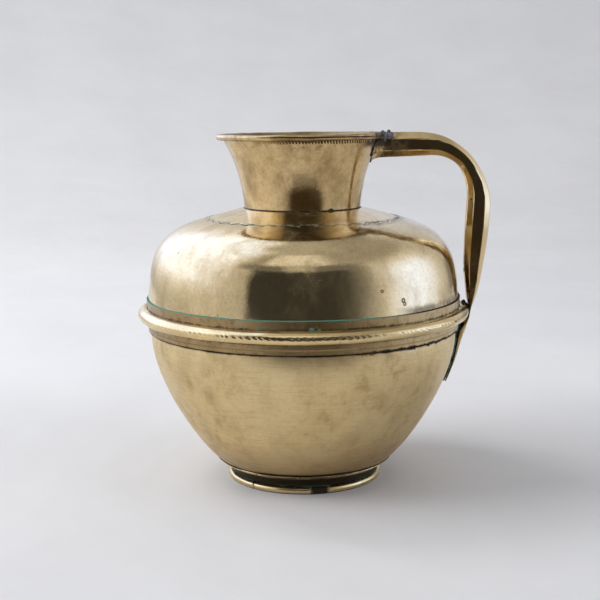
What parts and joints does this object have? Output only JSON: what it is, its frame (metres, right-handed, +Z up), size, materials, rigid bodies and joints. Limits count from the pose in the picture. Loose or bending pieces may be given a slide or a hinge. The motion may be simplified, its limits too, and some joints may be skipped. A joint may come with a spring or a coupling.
{
  "type": "water pot",
  "caption": "Round-bellied footed brass water pot with a flared wired mouth, a moulded belly band and a hollow folded side handle.",
  "frame": {"origin": "centre of the footprint's box, on the surface that the pot stands on; the pot's own axis is 8.2 mm towards -X from it", "axes": "+Z up, parallel to the pot's own axis; +X towards the handle"},
  "size_m": [0.2742, 0.2578, 0.2718],
  "materials": {
    "bowl_brass": "hand-burnished, worn satin with fine level scratches",
    "polished_brass": "polished and handled, soft gloss",
    "neck_brass": "polished, with brown tarnish under the rim",
    "band_brass": "satin, browned, dirt in the corners",
    "bead_brass": "rubbed bright, with slanting punch marks",
    "foot_brass": "satin, dark in the hollow",
    "pale_brass": "rubbed bright",
    "handle_brass": "polished edges, browned faces",
    "dark_braze": "blackened filler metal, rough",
    "green_braze": "filler metal crusted with verdigris",
    "soft_solder": "dull grey soft solder"
  },
  "bodies": {
    "root": {"bowl": "bowl_brass", "foot_ring": "foot_brass", "foot_bead": "pale_brass", "shoulder": "polished_brass", "belly_strip": "band_brass", "belly_bead": "bead_brass", "neck_collar": "polished_brass", "cramp_seam_braze": "dark_braze", "neck": "neck_brass", "neck_joint_braze": "dark_braze", "rim_wire": "pale_brass", "handle": "handle_brass", "handle_inner_strip": "handle_brass", "palm_braze": "dark_braze", "tongue_braze": "green_braze", "rim_solder": "soft_solder", "band_solder": "dark_braze"}
  },
  "joints": []
}
